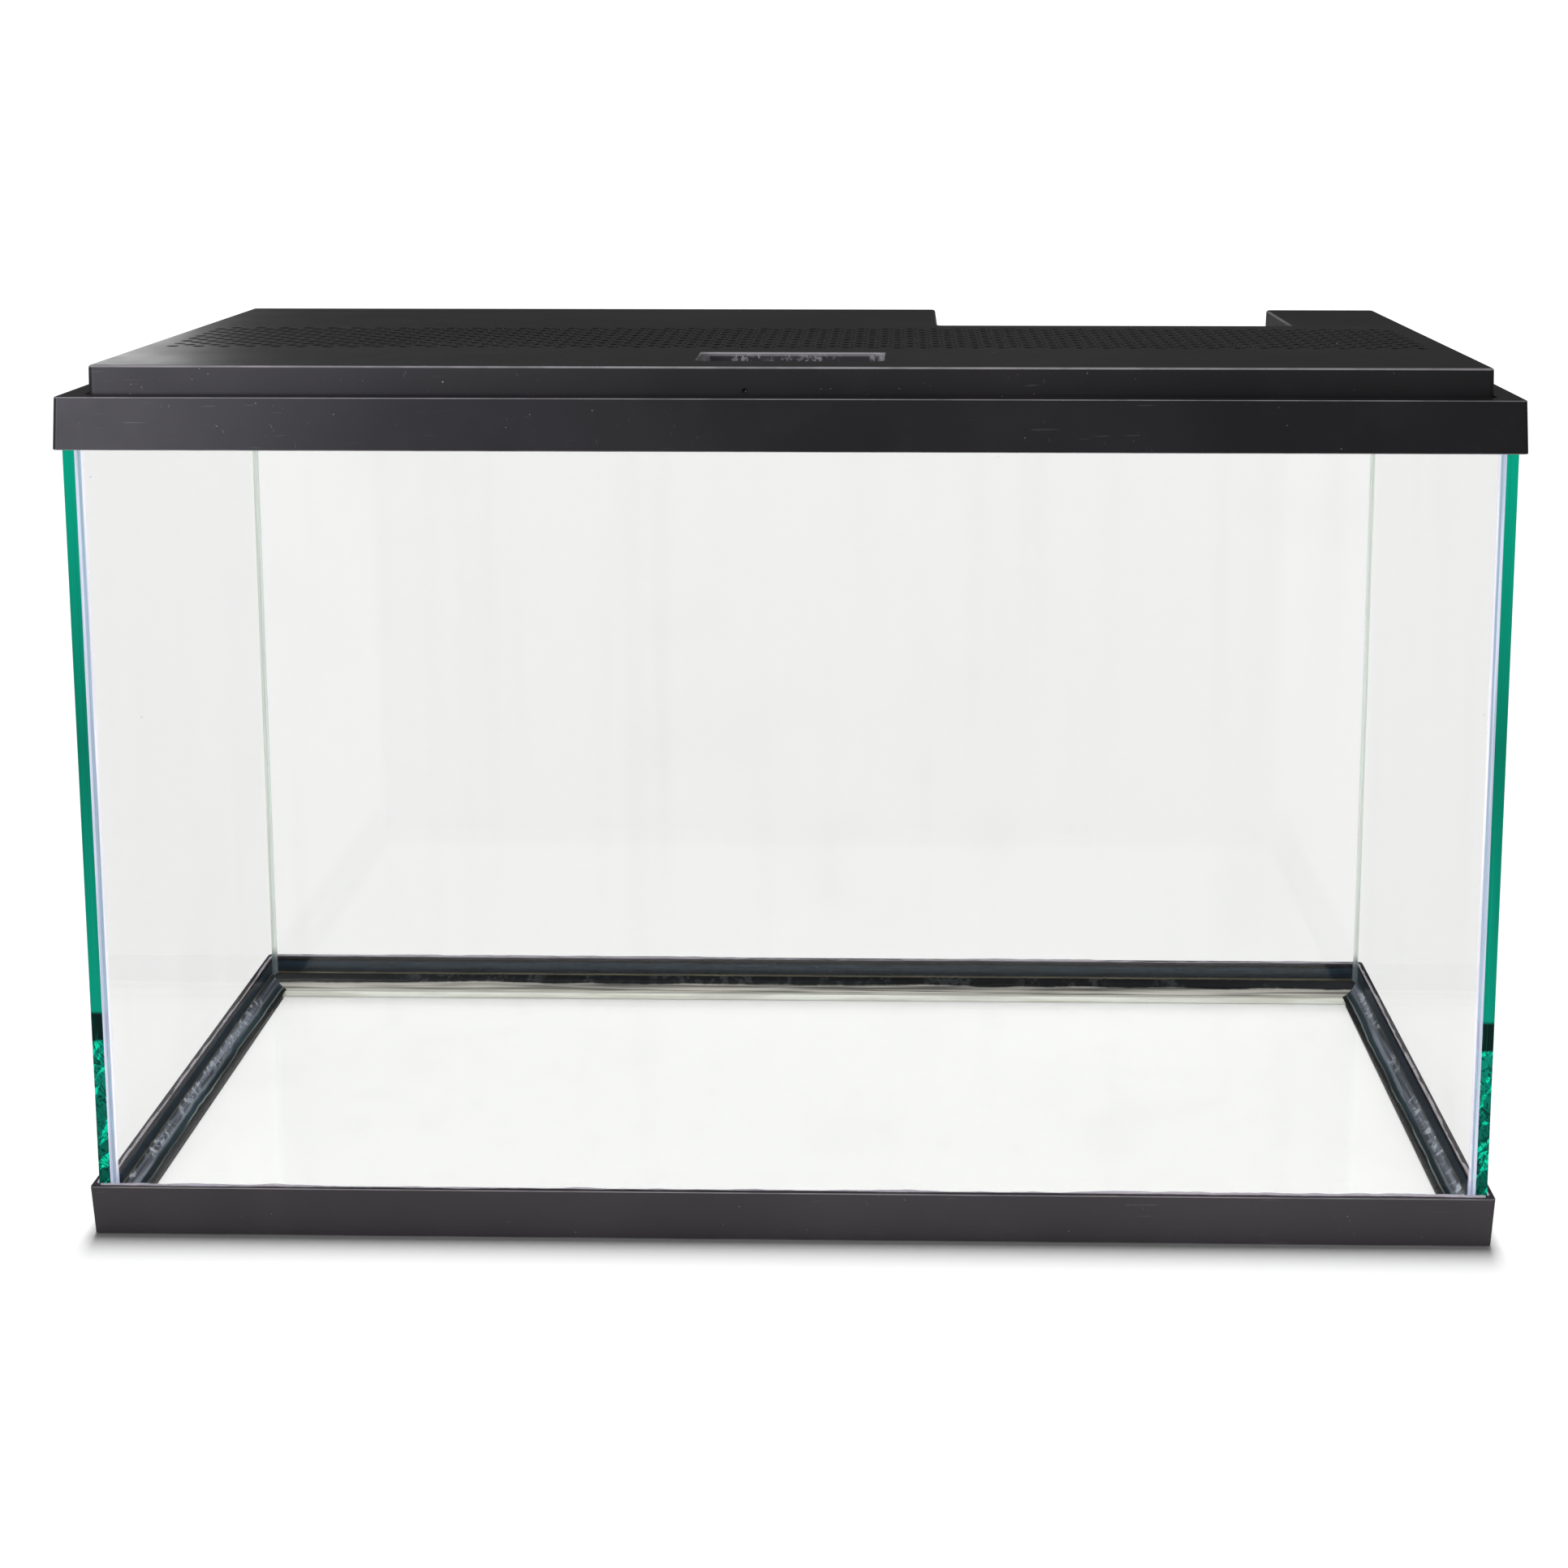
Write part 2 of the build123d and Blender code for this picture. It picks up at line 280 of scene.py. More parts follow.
def ledge_painted_light(tree, tone):
    """Paints the base frame's back ledge a streaky pale grey as painted light: it stands in for the
    floor seen through the glass, shaded near the frame. Gives back the tone and the mask.
    """
    x, y, z = tree.axes()[:3]
    dust_film_and_ledge_light = tree.step(z, LEDGE_TOP + 0.4 * MM, LEDGE_TOP)
    dust_film_and_ledge_light = tree.math("MULTIPLY", dust_film_and_ledge_light, tree.step(y, LEDGE_LIGHT_FRONT - 0.75 * MM, LEDGE_LIGHT_FRONT + 0.75 * MM))
    side = tree.math("ABSOLUTE", x)
    dust_film_and_ledge_light = tree.math("MULTIPLY", dust_film_and_ledge_light, tree.step(side, LEDGE_LIGHT_END + 2.0 * MM, LEDGE_LIGHT_END - 2.0 * MM))
    blotches = tree.noise(1.0, detail=2.0, vector=tree.stretched((20.0, 300.0, 300.0)))
    grey = tree.mix(tree.step(blotches, 0.35, 0.65), screen(206, 206, 196), screen(228, 230, 222))
    return tree.mix(dust_film_and_ledge_light, tone, grey), dust_film_and_ledge_light


def moulded_plastic(name, dark, light, roughness, dust, pocket=False, dust_film_and_ledge_light=False):
    """Satin black plastic: cloudy tone, fine mould grain, hairline scratches, painted edge highlights
    and dust.
    """
    material, tree = new_material(name)
    clouds = tree.noise(7.0, detail=2.0)
    patches = tree.noise(38.0, detail=3.0, roughness=0.6)
    tone = tree.mix(tree.step(clouds, 0.35, 0.68), dark, light)
    tone = tree.mix(tree.math("MULTIPLY", tree.step(patches, 0.5, 0.8), 0.35), tone, light)

    along = tree.noise(1.0, detail=1.0, vector=tree.stretched((22.0, 900.0, 900.0), (0.02, 0.03, 0.05)))
    across = tree.noise(1.0, detail=1.0, vector=tree.stretched((900.0, 30.0, 260.0), (0.0, 0.3, 0.4)))
    scratch = tree.math("MAXIMUM", tree.step(along, 0.70, 0.78), tree.step(across, 0.72, 0.80))
    worn = tree.math("MULTIPLY", scratch, tree.step(clouds, 0.42, 0.62))
    tone = tree.mix(tree.math("MULTIPLY", worn, 0.14), tone, SCRATCH_GREY)

    # Painted highlight: rounded edges, found by the normal, are painted a lighter grey in patches and
    # made glossier.
    upward = tree.add("SeparateXYZ", {0: tree.add("TexCoord").outputs["Normal"]}).outputs[2]
    upward = tree.math("ABSOLUTE", upward)
    edge = tree.math("MULTIPLY", tree.step(upward, 0.18, 0.40), tree.step(upward, 0.985, 0.90))
    edge_highlight = tree.math("MULTIPLY", edge, tree.step(patches, 0.30, 0.62, 0.55, 1.0))
    tone = tree.mix(tree.math("MULTIPLY", edge_highlight, 0.75), tone, EDGE_HIGHLIGHT_GREY)

    big = tree.specks(105.0, 0.045, dust * 0.5)
    small = tree.specks(310.0, 0.075, dust, seed=(0.37, 0.11, 0.53))
    dusty = tree.math("MAXIMUM", big, small)
    tone = tree.mix(tree.math("MULTIPLY", dusty, 0.75), tone, DUST_GREY)

    glow = 0.0
    if pocket:
        tone = gate_mark(tree, pocket_light_and_scuffs(tree, tone))
    # The back ledge's painted light also glows.
    if dust_film_and_ledge_light:
        tone, ledge_lit = ledge_painted_light(tree, tone)
        glow = tree.math("MULTIPLY", ledge_lit, 0.6)

    grain = tree.noise(2400.0, detail=1.0)
    ripple = tree.noise(260.0, detail=2.0)
    height = tree.math("MULTIPLY_ADD", ripple, 0.6, grain)
    height = tree.math("SUBTRACT", height, tree.math("MULTIPLY", worn, 0.5))
    rough = tree.math("MULTIPLY_ADD", patches, 0.16, roughness - 0.08)
    rough = tree.math("MULTIPLY_ADD", dusty, 0.25, rough)
    rough = tree.math("MULTIPLY_ADD", edge_highlight, -0.12, rough, clamp=True)
    surface = tree.add(
        "BsdfPrincipled",
        {
            "Base Color": tone,
            "Roughness": rough,
            "Specular IOR Level": 0.33,
            "Emission Color": tone if dust_film_and_ledge_light else (0.0, 0.0, 0.0, 1.0),
            "Emission Strength": glow,
            "Normal": tree.bump(height, 0.22, 0.03 * MM),
        },
    )
    tree.finish(surface.outputs[0])
    return material


# ----------------------------------------------------------------------------------------------- glass


def pane_face(name, tint, most_mirror, bends=False):
    """A pane's large faces: clear, mirror-like at a slant, with faint streaks, haze and dust.

    With bends they refract. Without it light goes straight through.
    """
    material, tree = new_material(name)
    backfacing = tree.add("NewGeometry").outputs["Backfacing"]
    index = tree.math("MULTIPLY_ADD", backfacing, 1 / GLASS_INDEX - GLASS_INDEX, GLASS_INDEX)
    mirror = tree.math("MINIMUM", tree.add("Fresnel", {"IOR": index}).outputs[0], most_mirror)
    mirror = tree.math("MULTIPLY", mirror, MIRROR_SHARE)

    streaks = tree.noise(1.0, detail=2.0, vector=tree.stretched((55.0, 55.0, 2.2)))
    blotches = tree.noise(9.0, detail=2.0, roughness=0.6)
    haze = tree.math("MULTIPLY", tree.step(streaks, 0.5, 0.85), 0.10)
    haze = tree.math("MULTIPLY_ADD", tree.step(blotches, 0.55, 0.8), 0.09, haze)
    hazy = tree.mix(haze, tint, tuple(0.86 * part for part in tint))

    if bends:
        clear = tree.add("BsdfRefraction", {"Color": hazy, "Roughness": 0.0, "IOR": GLASS_INDEX})
    else:
        clear = tree.add("BsdfTransparent", {"Color": hazy})
    dust_film_and_ledge_light = tree.add("BsdfDiffuse", {"Color": (0.62, 0.64, 0.62, 1.0)}).outputs[0]
    gloss = tree.add("BsdfGlossy", {"Color": (1.0, 1.0, 1.0, 1.0), "Roughness": 0.02}).outputs[0]
    dust = tree.math("MULTIPLY", tree.specks(62.0, 0.030, 0.10), 0.34)
    body = tree.add("MixShader", {0: dust, 1: clear.outputs[0], 2: dust_film_and_ledge_light}).outputs[0]
    tree.finish(tree.add("MixShader", {0: mirror, 1: body, 2: gloss}).outputs[0])
    return material


def pane_edge(name, low_z, high_z):
    """A pane's ground edges: deep green and streaky, with a painted gradient of light by height, a
    near-black block, painted glints below it, and a painted glow.
    """
    material, tree = new_material(name)
    z = tree.axes()[2]
    height = tree.add("MapRange", {0: z, 1: low_z, 2: high_z}).outputs[0]
    # Painted light: the green is lighter and darker by height, standing in for light carried through
    # the glass.
    tone = tree.ramp(
        height,
        [
            (0.00, screen(8, 84, 70)),
            (0.10, screen(10, 104, 88)),
            (0.22, screen(6, 142, 118)),
            (0.34, screen(4, 138, 113)),
            (0.60, screen(4, 116, 94)),
            (0.80, screen(5, 138, 112)),
            (1.00, screen(6, 158, 128)),
        ],
    )

    over_foot = tree.step(z, BLOCK_FOOT - 0.5 * MM, BLOCK_FOOT + 0.5 * MM)
    block = tree.math("MULTIPLY", over_foot, tree.step(z, BLOCK_TOP + 1.0 * MM, BLOCK_TOP - 1.0 * MM))
    block_noise = tree.noise(1.0, detail=3.0, vector=tree.stretched((700.0, 700.0, 60.0)))
    block = tree.math("MULTIPLY", block, tree.step(block_noise, 0.25, 0.45, 0.72, 1.0))
    tone = tree.mix(block, tone, screen(16, 38, 36))

    below = tree.step(z, BLOCK_FOOT + 1.0 * MM, BLOCK_FOOT - 1.0 * MM)
    # Painted glints on the edge below the block.
    glints = tree.noise(1.0, detail=2.0, vector=tree.stretched((260.0, 260.0, 110.0), (0.0, -0.7, 0.0)))
    spark = tree.math("MULTIPLY", tree.step(glints, 0.52, 0.60), below)
    tone = tree.mix(tree.math("MULTIPLY", spark, 0.9), tone, screen(0, 220, 172))
    slanted = tree.stretched((300.0, 300.0, 120.0), (0.0, 0.6, 0.0))
    slants = tree.noise(1.0, detail=3.0, vector=slanted, distortion=1.2)
    vein = tree.step(tree.math("ABSOLUTE", tree.math("SUBTRACT", slants, 0.5)), 0.045, 0.012)
    dark = tree.math("MULTIPLY", tree.math("MAXIMUM", vein, tree.step(slants, 0.62, 0.68)), below)
    tone = tree.mix(tree.math("MULTIPLY", dark, 0.80), tone, screen(6, 30, 30))

    lines = tree.noise(1.0, detail=3.0, vector=tree.stretched((1500.0, 1500.0, 5.0)))
    tone = tree.mix(tree.step(lines, 0.55, 0.72, 0.0, 0.30), tone, screen(2, 66, 56))
    tone = tree.mix(tree.step(lines, 0.42, 0.28, 0.0, 0.22), tone, screen(40, 190, 160))
    # Painted light: the ground edges glow with their own tone.
    ground = tree.add(
        "BsdfPrincipled",
        {
            "Base Color": tone,
            "Roughness": 0.5,
            "Specular IOR Level": 0.06,
            "Emission Color": tone,
            "Emission Strength": 0.45,
            "Normal": tree.bump(lines, 0.25, 0.08 * MM),
        },
    )
    clear = tree.add("BsdfTransparent", {"Color": (*EDGE_INNER_TINT, 1.0)})
    inside = tree.add("NewGeometry").outputs["Backfacing"]
    both = tree.add("MixShader", {0: inside, 1: ground.outputs[0], 2: clear.outputs[0]})
    tree.finish(both.outputs[0])
    return material


def build_pane(node, face, edge, thin_axis, least_flat=0.99):
    """A pane with seamed edges, in place of its CAD node.

    Faces whose normal is near enough to thin_axis take the face glass, and the rest the edge glass.
    """
    low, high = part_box(node)
    gap = Vector((PANE_GAP,) * 3)
    low, high = low + gap, high - gap
    mesh = bmesh.new()
    bmesh.ops.create_cube(mesh, size=1.0)
    for vertex in mesh.verts:
        for axis in range(3):
            share = vertex.co[axis] + 0.5
            vertex.co[axis] = low[axis] + share * (high[axis] - low[axis])
    edges = mesh.edges[:]
    bmesh.ops.bevel(mesh, geom=edges, offset=SEAM, segments=SEAM_SEGMENTS, affect="EDGES", profile=0.5)
    mesh.normal_update()
    for item in mesh.faces:
        item.material_index = 0 if abs(item.normal[thin_axis]) > least_flat else 1
    data = bpy.data.meshes.new(node + "_glass")
    mesh.to_mesh(data)
    mesh.free()
    data.materials.append(face)
    data.materials.append(edge)
    pane = bpy.data.objects.new(node + "_glass", data)
    bpy.context.scene.collection.objects.link(pane)
    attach(pane, "tank")
    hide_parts(node)
    pane.visible_shadow = False


# -------------------------------------------------------------------------------------------- silicone


def corner_silicone(name, bond_tones, bead_tones, foot_tone, bond_solid, bead_solid):
    """An upright corner seal: a bond between two panes and a clear fillet, streaked and bubbly, with a
    painted glow.
    """
    material, tree = new_material(name)
    x, y, z = tree.axes()[:3]
    side = tree.math("ABSOLUTE", x)
    bond = tree.step(side, WALL_END - 0.2 * MM, WALL_END + 0.1 * MM)
    near = tree.step(side, WALL_END - 1.3 * MM, WALL_END - 0.6 * MM, 0.3, 1.0)
    drag = tree.noise(1.0, detail=2.0, vector=tree.stretched((900.0, 900.0, 14.0)))
    bubbles = tree.specks(700.0, 0.16, 0.16)
    bond_tone = tree.mix(tree.step(drag, 0.35, 0.65), *bond_tones)
    bead_tone = tree.mix(tree.step(drag, 0.35, 0.65), *bead_tones)
    tone = tree.mix(bond, bead_tone, bond_tone)
    tone = tree.mix(tree.math("MULTIPLY", bubbles, 0.5), tone, screen(120, 128, 136))
    foot = tree.step(z, 0.030, 0.021)
    tone = tree.mix(tree.math("MULTIPLY", foot, 0.9), tone, foot_tone)
    solid = tree.math("MULTIPLY", near, tree.step(drag, 0.3, 0.7, bead_solid * 0.7, bead_solid))
    solid = tree.math("MULTIPLY_ADD", bond, bond_solid, solid)
    solid = tree.math("MULTIPLY_ADD", foot, 0.4, solid)
    solid = tree.math("MULTIPLY_ADD", bubbles, 0.25, solid, clamp=True)
    # Painted light: the seal glows with its own tone, standing in for light passing through the
    # silicone.
    surface = tree.add(
        "BsdfPrincipled",
        {
            "Base Color": tone,
            "Roughness": 0.35,
            "Specular IOR Level": 0.3,
            "Alpha": solid,
            "Emission Color": tone,
            "Emission Strength": 0.65,
            "Normal": tree.bump(drag, 0.35, 0.2 * MM),
        },
    )
    tree.finish(surface.outputs[0])
    return material


def floor_silicone(name, across_x, stops, solid_stops, scuff):
    """A floor bead over the dark frame: bands by how far in they lie, with painted sheen, highlight and
    shade among them, drag lines, pale scuffs and a painted glow.
    """
    material, tree = new_material(name)
    x, y = tree.axes()[:2]
    across = tree.math("ABSOLUTE", x if across_x else y)
    depth = tree.math("SUBTRACT", SIDE_INNER if across_x else BACK_INNER, across)
    stretch = (480.0, 12.0, 480.0) if across_x else (12.0, 480.0, 480.0)
    drag = tree.noise(1.0, detail=2.0, roughness=0.6, vector=tree.stretched(stretch))
    clumps = tree.noise(170.0, detail=3.0, roughness=0.7)
    patches = tree.noise(24.0, detail=2.0)
    place = tree.math("DIVIDE", depth, BEAD_REACH)
    place = tree.math("MULTIPLY_ADD", tree.math("SUBTRACT", patches, 0.5), 0.30, place)
    place = tree.math("MULTIPLY_ADD", tree.math("SUBTRACT", clumps, 0.5), 0.08, place)
    tone = tree.ramp(place, stops)
    streak = tree.mix(tree.step(drag, 0.36, 0.64), (0.40, 0.40, 0.40), (1.7, 1.7, 1.7))
    tone = tree.mix(1.0, tone, streak, blend="MULTIPLY")
    scum = tree.math("MULTIPLY", tree.step(clumps, 0.50, 0.60), tree.step(patches, 0.42, 0.54))
    scum = tree.math("MULTIPLY", scum, tree.step(place, 0.42, 0.18))
    tone = tree.mix(tree.math("MULTIPLY", scum, scuff), tone, screen(184, 192, 200))
    solid = tree.ramp(place, solid_stops)
    solid = tree.math("MULTIPLY_ADD", scum, 0.5, solid, clamp=True)
    # Painted light: the bead glows with its own tone.
    surface = tree.add(
        "BsdfPrincipled",
        {
            "Base Color": tone,
            "Roughness": 0.3,
            "Specular IOR Level": 0.3,
            "Alpha": solid,
            "Emission Color": tone,
            "Emission Strength": 0.6,
            "Normal": tree.bump(tree.math("ADD", drag, clumps), 0.5, 0.35 * MM),
        },
    )
    tree.finish(surface.outputs[0])
    return material


def foot_bedding(name):
    """Sealant behind the base frame's lip: brown-black, then dark teal as painted sheen, a pale line as
    painted highlight, and black, with a painted glow.
    """
    material, tree = new_material(name)
    z = tree.axes()[2]
    drag = tree.noise(1.0, detail=3.0, vector=tree.stretched((40.0, 40.0, 1300.0)))
    clumps = tree.noise(300.0, detail=3.0, roughness=0.7)
    high = tree.math("DIVIDE", z, LIP_TOP)
    high = tree.math("MULTIPLY_ADD", tree.math("SUBTRACT", clumps, 0.5), 0.06, high)
    # Painted light in the bands: the dark teal is painted sheen and the pale line a painted highlight.
    tone = tree.ramp(
        high,
        [
            (0.00, screen(12, 14, 16)),
            (0.54, screen(12, 14, 16)),
            (0.575, screen(118, 112, 88)),
            (0.62, screen(20, 30, 38)),
            (0.84, screen(34, 54, 68)),
            (0.90, screen(27, 22, 24)),
            (1.00, screen(22, 18, 20)),
        ],
    )
    streak = tree.mix(tree.step(drag, 0.3, 0.7), (0.5, 0.5, 0.5), (1.4, 1.4, 1.4))
    tone = tree.mix(1.0, tone, streak, blend="MULTIPLY")
    fleck = tree.math("MULTIPLY", tree.specks(520.0, 0.16, 0.10), 0.6)
    tone = tree.mix(fleck, tone, screen(150, 158, 165))
    # Painted light: the bedding glows with its own tone.
    surface = tree.add(
        "BsdfPrincipled",
        {
            "Base Color": tone,
            "Roughness": 0.3,
            "Specular IOR Level": 0.2,
            "Alpha": tree.step(clumps, 0.2, 0.5, 0.88, 0.97),
            "Emission Color": tone,
            "Emission Strength": 0.4,
            "Normal": tree.bump(drag, 0.4, 0.2 * MM),
        },
    )
    tree.finish(surface.outputs[0])
    return material


def bedding_silicone(name):
    """The thin grey-violet line of sealant squeezed up between a frame and the glass."""
    material, tree = new_material(name)
    drag = tree.noise(1.0, detail=4.0, vector=tree.stretched((60.0, 60.0, 900.0)))
    tone = tree.mix(tree.step(drag, 0.35, 0.68), screen(62, 54, 76), screen(150, 142, 160))
    surface = tree.add(
        "BsdfPrincipled",
        {
            "Base Color": tone,
            "Roughness": 0.3,
            "Alpha": tree.step(drag, 0.2, 0.6, 0.75, 0.98),
            "Normal": tree.bump(drag, 0.4, 0.2 * MM),
        },
    )
    tree.finish(surface.outputs[0])
    return material


def squeezed_silicone(name):
    """Sealant squeezed out over the frame's lip: violet low down and nearly white on top, with a faint
    painted glow.
    """
    material, tree = new_material(name)
    z = tree.axes()[2]
    drag = tree.noise(1.0, detail=3.0, vector=tree.stretched((70.0, 70.0, 900.0)))
    rise = tree.step(z, LIP_TOP - 0.3 * MM, LIP_TOP + 0.5 * MM)
    pale = tree.math("MULTIPLY_ADD", drag, 0.7, rise)
    tone = tree.mix(pale, screen(96, 74, 110), screen(240, 232, 246))
    # Painted light: a faint glow in the sealant's own tone.
    surface = tree.add(
        "BsdfPrincipled",
        {
            "Base Color": tone,
            "Roughness": 0.25,
            "Specular IOR Level": 0.4,
            "Alpha": tree.step(drag, 0.30, 0.55, 0.45, 0.95),
            "Emission Color": tone,
            "Emission Strength": 0.2,
        },
    )
    tree.finish(surface.outputs[0])
    return material


def build_squeeze(side, material):
    """A ragged bead of sealant along one wall, lying on the base frame's lip against the glass."""
    along_x = side in ("front", "back")
    sign = -1 if side in ("front", "left") else 1
    corner_of_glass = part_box("floor_pane")[1]
    half_run = (corner_of_glass.x if along_x else corner_of_glass.y) - 1.0 * MM
    face = corner_of_glass.y if along_x else corner_of_glass.x
    wander = random.Random(side)
    mesh = bmesh.new()
    rings = []
    lift, reach = 0.5, 0.5
    for step in range(SQUEEZE_STEPS + 1):
        run = -half_run + 2 * half_run * step / SQUEEZE_STEPS
        lift = min(1.0, max(0.0, lift + wander.uniform(-0.22, 0.22)))
        reach = min(1.0, max(0.0, reach + wander.uniform(-0.22, 0.22)))
        tall = SQUEEZE_LOW + lift * SQUEEZE_SPREAD
        wide = SQUEEZE_LOW + reach * SQUEEZE_SPREAD
        ring = []
        for corner in range(SQUEEZE_SIDES):
            turn = 2 * math.pi * corner / SQUEEZE_SIDES
            out = face + wide * (0.55 + 0.5 * math.cos(turn))
            up = LIP_TOP - 0.35 * MM + tall * (0.45 + 0.5 * math.sin(turn))
            place = (run, sign * out, up) if along_x else (sign * out, run, up)
            ring.append(mesh.verts.new(place))
        rings.append(ring)
    for first, second in zip(rings, rings[1:]):
        for corner in range(SQUEEZE_SIDES):
            after = (corner + 1) % SQUEEZE_SIDES
            mesh.faces.new((first[corner], first[after], second[after], second[corner]))
    mesh.faces.new(rings[0])
    mesh.faces.new(rings[-1])
    bmesh.ops.recalc_face_normals(mesh, faces=mesh.faces[:])
    for item in mesh.faces:
        item.smooth = True
    data = bpy.data.meshes.new("squeeze_" + side)
    mesh.to_mesh(data)
    mesh.free()
    data.materials.append(material)
    bead = bpy.data.objects.new("squeeze_" + side, data)
    bpy.context.scene.collection.objects.link(bead)
    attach(bead, "tank")


# ---------------------------------------------------------------------------------------------- studio


def build_floor():
    """A pale matt floor. Seen in a mirror it is dim, so that it lays no white veil over the glass."""
    data = bpy.data.meshes.new("studio_floor")
    half = FLOOR_SIZE / 2
    corners = [(-half, -half, 0), (half, -half, 0), (half, half, 0), (-half, half, 0)]
    data.from_pydata(corners, [], [(0, 1, 2, 3)])
    floor = bpy.data.objects.new("studio_floor", data)
    bpy.context.scene.collection.objects.link(floor)
    material, tree = new_material("studio_white")
    path = tree.add("LightPath").outputs
    mirrored = tree.math("SUBTRACT", path["Is Glossy Ray"], path["Is Transmission Ray"], clamp=True)
    paint = tree.mix(mirrored, (FLOOR_WHITE,) * 3, (FLOOR_MIRRORED,) * 3)
    tree.finish(tree.add("BsdfDiffuse", {"Color": paint}).outputs[0])
    data.materials.append(material)
    return floor


def build_room():
    """A room that is white to the eye and through glass, and dimmer as a light and in mirrors."""
    world = bpy.data.worlds.new("studio_room")
    bpy.context.scene.world = world
    world.use_nodes = True
    tree = Tree(world)
    path = tree.add("LightPath").outputs
    up = tree.add("SeparateXYZ", {0: tree.add("TexCoord").outputs["Generated"]}).outputs[2]
    mirrored = tree.step(up, 0.15, 0.85, ROOM_GLOSSY_LOW, ROOM_GLOSSY_HIGH)
    dimming = tree.math("SUBTRACT", mirrored, ROOM_DIFFUSE)
    level = tree.math("MULTIPLY_ADD", path["Is Glossy Ray"], dimming, ROOM_DIFFUSE)
    seen = tree.math("MAXIMUM", path["Is Camera Ray"], path["Is Transmission Ray"])
    rise = tree.math("SUBTRACT", ROOM_SEEN, level)
    level = tree.math("MULTIPLY_ADD", seen, rise, level)
    background = tree.add("Background", {"Color": (1.0, 1.0, 1.0, 1.0), "Strength": level})
    output = tree.add("OutputWorld")
    tree.links.new(background.outputs[0], output.inputs["Surface"])


def collection_of(name, objects):
    group = bpy.data.collections.new(name)
    for item in objects:
        group.objects.link(item)
    return group


def build_sky(floor):
    """A far panel, above and behind, that lights only the floor and is shaded by the base frame.

    It is wide from front to back and narrow from left to right, so the shadow is soft in front of the
    tank and short at its ends.
    """
    light = bpy.data.lights.new("floor_sky", "AREA")
    light.shape = "RECTANGLE"
    light.energy = SKY_POWER
    spans = [2 * SKY_DISTANCE * math.tan(math.radians(half)) for half in SKY_HALF_ANGLES]
    light.size, light.size_y = spans
    sky = bpy.data.objects.new("floor_sky", light)
    lift = math.radians(SKY_HEIGHT)
    towards = Vector((0.0, math.cos(lift), math.sin(lift)))
    sky.location = SKY_DISTANCE * towards
    sky.rotation_mode = "QUATERNION"
    sky.rotation_quaternion = towards.to_track_quat("Z", "Y")
    sky.visible_camera = False
    sky.visible_transmission = False
    sky.visible_glossy = False
    bpy.context.scene.collection.objects.link(sky)
    sky.light_linking.receiver_collection = collection_of("lit_by_sky", [floor])
    sky.light_linking.blocker_collection = collection_of("shades_sky", [NODES["base_frame"]])


def build_softbox(name, place, target, size, power, lit, tint=(1.0, 1.0, 1.0)):
    """A soft lamp that reaches only the CAD nodes named in lit, so it adds no glare to the glass."""
    light = bpy.data.lights.new(name, "AREA")
    light.shape = "RECTANGLE"
    light.size, light.size_y = size
    light.energy = power
    light.color = tint
    box = bpy.data.objects.new(name, light)
    box.location = place
    box.rotation_mode = "QUATERNION"
    box.rotation_quaternion = (Vector(place) - Vector(target)).to_track_quat("Z", "Y")
    box.visible_camera = False
    box.light_linking.receiver_collection = collection_of("lit_by_" + name, [NODES[n] for n in lit])
    bpy.context.scene.collection.objects.link(box)


def build_camera():
    lens = bpy.data.cameras.new("camera")
    lens.lens = CAMERA_LENS
    lens.sensor_width = CAMERA_SENSOR
    lens.shift_x, lens.shift_y = CAMERA_SHIFT
    camera = bpy.data.objects.new("camera", lens)
    camera.location = CAMERA_PLACE
    camera.rotation_euler = (math.radians(90 - CAMERA_PITCH), 0.0, math.radians(CAMERA_YAW))
    bpy.context.scene.collection.objects.link(camera)
    bpy.context.scene.camera = camera


# ------------------------------------------------------------------------------------------- the scene


def dress(node, material):
    """Gives a CAD node one material."""
    item = NODES[node]
    item.data.materials.clear()
    item.data.materials.append(material)


build_camera()
floor = build_floor()
build_room()
build_sky(floor)

# The base frame is the same black plastic as the top frame, painted lighter as painted light on its
# front, and it carries the painted light on its back ledge.
base_plastic_painted_lighter = moulded_plastic(
    "base_plastic_painted_lighter",
    (0.0440, 0.0400, 0.0450),
    (0.0540, 0.0490, 0.0550),
    roughness=0.42,
    dust=0.10,
    dust_film_and_ledge_light=True,
)
top_plastic = moulded_plastic(
    "top_plastic",
    (0.0120, 0.0112, 0.0125),
    (0.0200, 0.0185, 0.0210),
    roughness=0.38,
    dust=0.10,
)
hood_plastic = moulded_plastic(
    "hood_plastic",
    (0.0150, 0.0140, 0.0150),
    (0.0230, 0.0212, 0.0222),
    roughness=0.42,
    dust=0.30,
    pocket=True,
)
dress("base_frame", base_plastic_painted_lighter)
dress("top_frame", top_plastic)
dress("lid", hood_plastic)

front_face = pane_face("front_glass", WALL_TINT, FRONT_MIRROR)
back_face = pane_face("back_glass", WALL_TINT, BACK_MIRROR)
side_face = pane_face("side_glass", WALL_TINT, SIDE_MIRROR, bends=True)
floor_face = pane_face("floor_glass", FLOOR_TINT, FLOOR_MIRROR, bends=True)
glass_edge = pane_edge("glass_edge", low_z=0.02, high_z=0.35)
build_pane("floor_pane", floor_face, glass_edge, thin_axis=2)
build_pane("front_pane", front_face, glass_edge, thin_axis=1, least_flat=0.2)
build_pane("back_pane", back_face, glass_edge, thin_axis=1, least_flat=0.2)
build_pane("left_pane", side_face, glass_edge, thin_axis=0)
build_pane("right_pane", side_face, glass_edge, thin_axis=0)

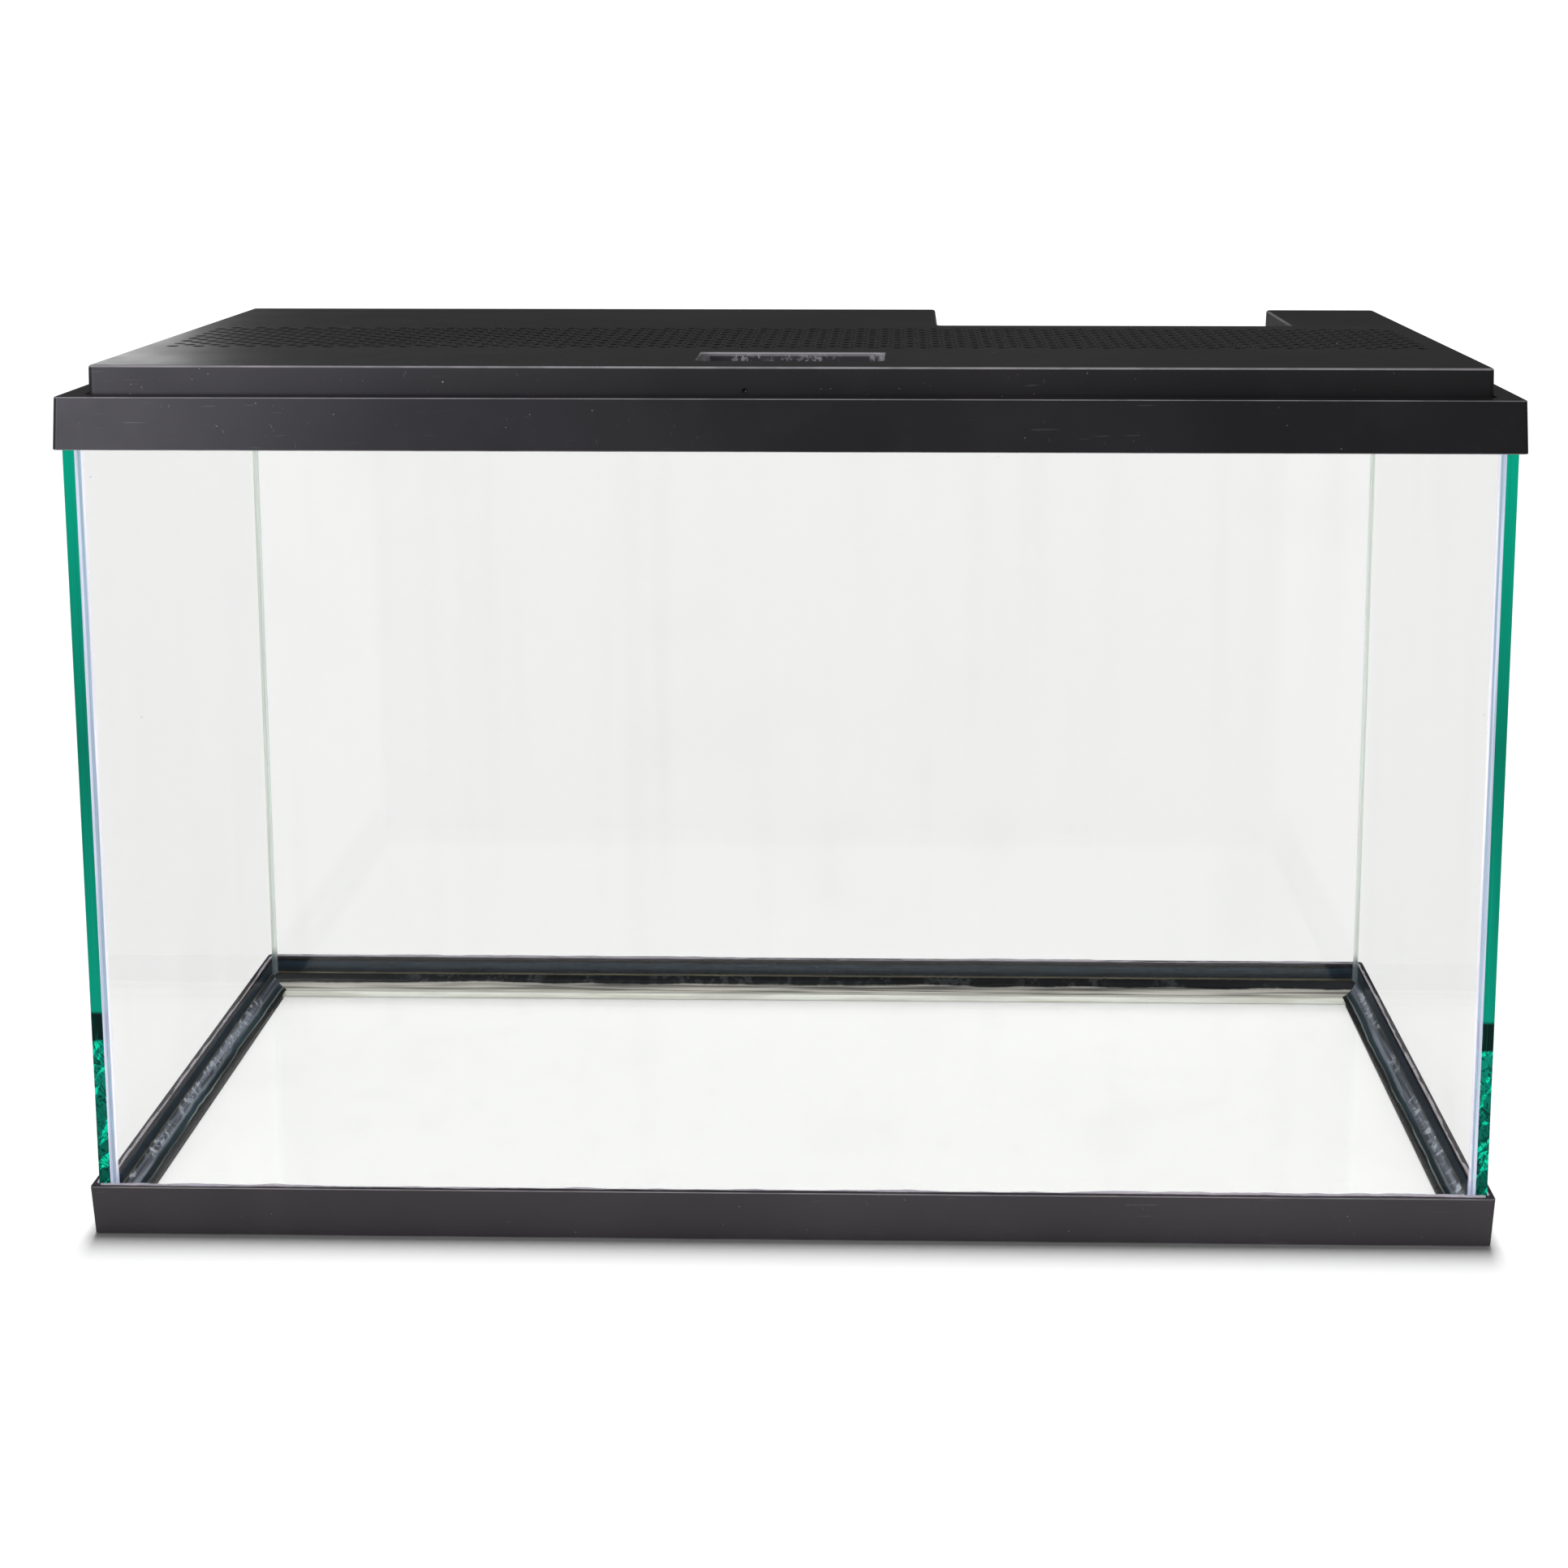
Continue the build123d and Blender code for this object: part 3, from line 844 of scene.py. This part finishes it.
# The bonds of the corner seals lie between two panes, and their beads show inside the corners.
front_seal = corner_silicone(
    "front_seal",
    (screen(150, 160, 182), screen(194, 196, 218)),
    (screen(222, 214, 232), screen(248, 244, 250)),
    screen(178, 182, 206),
    bond_solid=0.40,
    bead_solid=0.50,
)
# The back seals' foot is painted the dark teal of the painted sheen on the sealant behind the base
# frame's lip.
back_seal = corner_silicone(
    "back_seal",
    (screen(176, 184, 174), screen(208, 212, 204)),
    (screen(226, 222, 230), screen(238, 236, 240)),
    screen(50, 64, 74),
    bond_solid=0.30,
    bead_solid=0.30,
)

# Bands of the floor beads, from the pane (0) to the full reach (1), and how solid the beads are there
# The side beads' pale grey-blue band is partly the silicone's haze and partly painted sheen, and their
# thin pale line is a painted highlight.
SIDE_BANDS = [
    (0.00, screen(42, 54, 62)),
    (0.10, screen(104, 108, 118)),
    (0.36, screen(96, 102, 110)),
    (0.46, screen(34, 50, 56)),
    (0.64, screen(30, 44, 50)),
    (0.69, screen(110, 118, 114)),
    (0.75, screen(16, 18, 20)),
]
# The end beads' grey beyond their dark edge is painted shade: the shaded floor seen through the glass.
BACK_BANDS = [
    (0.00, screen(12, 16, 20)),
    (0.30, screen(14, 18, 20)),
    (0.38, screen(150, 148, 142)),
    (1.00, screen(172, 170, 162)),
]
BEAD_SOLID = [(0.00, (0.94, 0.94, 0.94)), (1.00, (0.86, 0.86, 0.86))]
side_bead = floor_silicone("side_bead", True, SIDE_BANDS, BEAD_SOLID, scuff=0.8)
end_bead = floor_silicone("end_bead", False, BACK_BANDS, BEAD_SOLID, scuff=0.05)
foot_bed = foot_bedding("foot_bed")
bedding = bedding_silicone("bedding")
squeezed = squeezed_silicone("squeezed")
for side in ("left", "right"):
    dress("corner_seal_front_" + side, front_seal)
    dress("corner_seal_back_" + side, back_seal)
    dress("floor_seal_" + side, side_bead)
for side in ("front", "back"):
    dress("floor_seal_" + side, end_bead)
for side in WALLS:
    dress("base_bed_" + side, foot_bed)
    dress("top_bed_" + side, bedding)
    build_squeeze(side, squeezed)

seals = [name for name in NODES if "seal" in name or "bed" in name]
build_softbox(
    "top_softbox",
    place=(-0.3, -0.5, 1.5),
    target=(0.0, 0.0, 0.37),
    size=(1.6, 0.5),
    power=9.5,
    lit=["base_frame", "top_frame", "lid", *seals],
)
build_softbox(
    "left_softbox",
    place=(-0.85, -1.20, 0.45),
    target=(-0.3, -0.15, 0.37),
    size=(0.45, 0.45),
    power=8.5,
    lit=["top_frame", "lid"],
    tint=(0.90, 0.88, 1.0),
)
build_softbox(
    "rim_softbox",
    place=(-0.80, 1.35, 0.50),
    target=(-0.27, -0.13, 0.378),
    size=(0.25, 0.2),
    power=1.5,
    lit=["lid"],
)
build_softbox(
    "low_softbox",
    place=(0.1, -1.5, 0.12),
    target=(0.0, -0.15, 0.01),
    size=(1.6, 0.2),
    power=6.4,
    lit=["base_frame"],
)

scene = bpy.context.scene
scene.view_settings.view_transform = "Standard"
scene.cycles.use_denoising = True
scene.cycles.max_bounces = 6
scene.cycles.diffuse_bounces = 2
scene.cycles.glossy_bounces = 3
scene.cycles.transparent_max_bounces = 24
